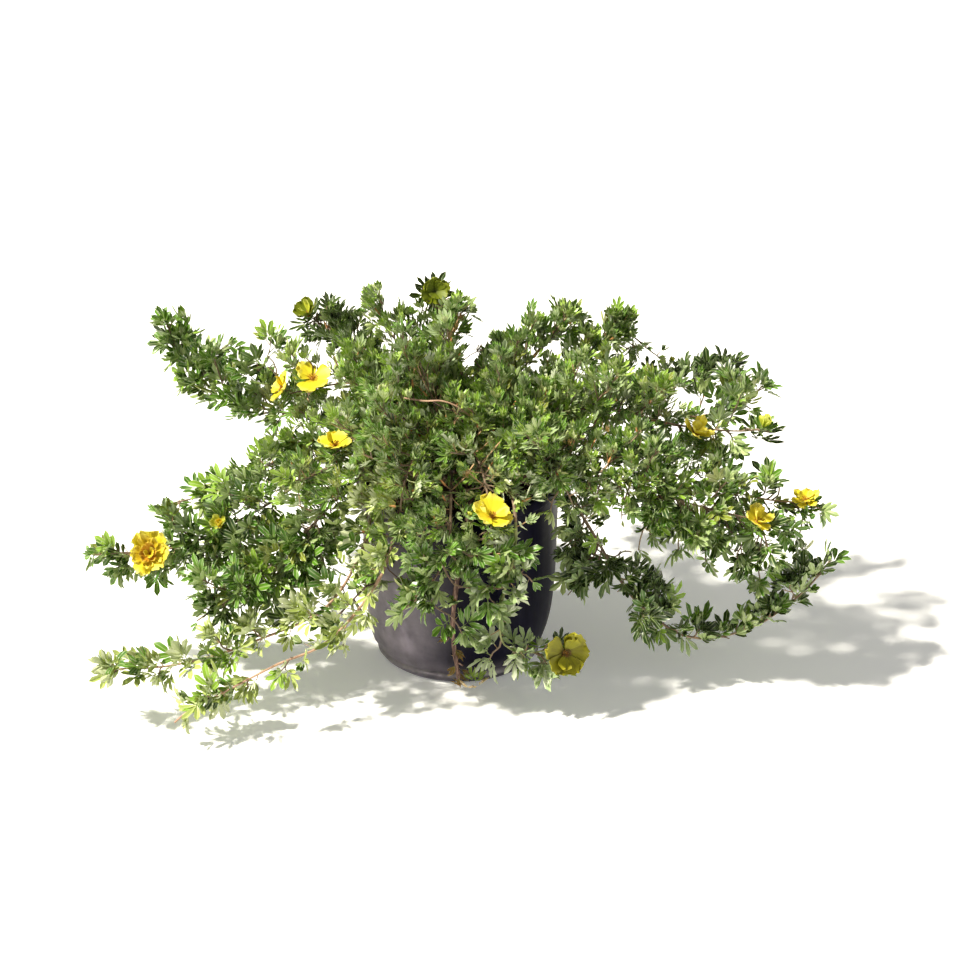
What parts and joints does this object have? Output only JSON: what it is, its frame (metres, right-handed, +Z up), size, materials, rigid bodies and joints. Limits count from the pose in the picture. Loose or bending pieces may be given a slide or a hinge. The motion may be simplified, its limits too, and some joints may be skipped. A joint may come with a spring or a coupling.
{
  "type": "shrubby cinquefoil in a nursery pot",
  "caption": "Low, spreading flowering shrub with long arching stems, small divided leaves and yellow five-petalled flowers, in a dark round nursery pot.",
  "frame": {"origin": "centre of the pot's underside, on the surface that the pot stands on", "axes": "+Z up, +X to the right and +Y to the back as seen in the reference view"},
  "size_m": [0.6254, 0.3844, 0.3134],
  "materials": {
    "pot_plastic": "dark charcoal moulded polyethylene, scuffed pale round the foot",
    "potting_mix": "damp dark potting mix of bark, peat and a little grit",
    "old_bark": "rough, peeling grey-brown bark",
    "young_bark": "thin smooth tan to reddish bark with silky hairs",
    "leaf": "small leathery green leaflets, paler and silky underneath",
    "petal": "thin bright yellow petals, orange towards the centre"
  },
  "bodies": {
    "root": {"pot": "pot_plastic", "soil": "potting_mix", "woody_crown": "old_bark", "stem_dry": "old_bark", "stem_top_flower": "young_bark", "stem_top_left": "young_bark", "stem_top_right": "young_bark", "stem_mound_left": "young_bark", "stem_mound_front": "young_bark", "stem_mound_right": "young_bark", "stem_left_high": "young_bark", "stem_back_left_flower": "young_bark", "stem_long_back_left": "young_bark", "stem_high_right": "young_bark", "stem_long_back_right": "young_bark", "stem_right_upturned": "young_bark", "stem_right_bud": "young_bark", "stem_right_flower": "young_bark", "stem_right_mass": "young_bark", "stem_right_loop": "young_bark", "stem_front_right_flower": "young_bark", "stem_front_flower": "young_bark", "stem_front_spray": "young_bark", "stem_left_low_short": "young_bark", "stem_left_low_long": "young_bark", "stem_left_front": "young_bark", "stem_left_flower": "young_bark", "stem_left_middle": "young_bark", "stem_back_left_low": "young_bark", "stem_back_right_low": "young_bark", "leaves_crown": "leaf", "leaves_back_left_flower": "leaf", "leaves_long_back_left": "leaf", "leaves_high_right": "leaf", "leaves_long_back_right": "leaf", "leaves_right_high": "leaf", "leaves_right_mass": "leaf", "leaves_right_loop": "leaf", "leaves_front_right_flower": "leaf", "leaves_front": "leaf", "leaves_left_low_short": "leaf", "leaves_left_low_long": "leaf", "leaves_left_front": "leaf", "leaves_left_flower": "leaf", "leaves_left_middle": "leaf", "leaves_back_left_low": "leaf", "leaves_back_right_low": "leaf", "flower_top": "petal", "flower_back_left": "petal", "flower_left_edge": "petal", "flower_left_high": "petal", "flower_mound": "petal", "flower_left": "petal", "flower_left_middle": "petal", "flower_front": "petal", "flower_low_right": "petal", "flower_right_high": "petal", "flower_right_bud": "petal", "flower_right": "petal", "flower_right_low": "petal"}
  },
  "joints": []
}
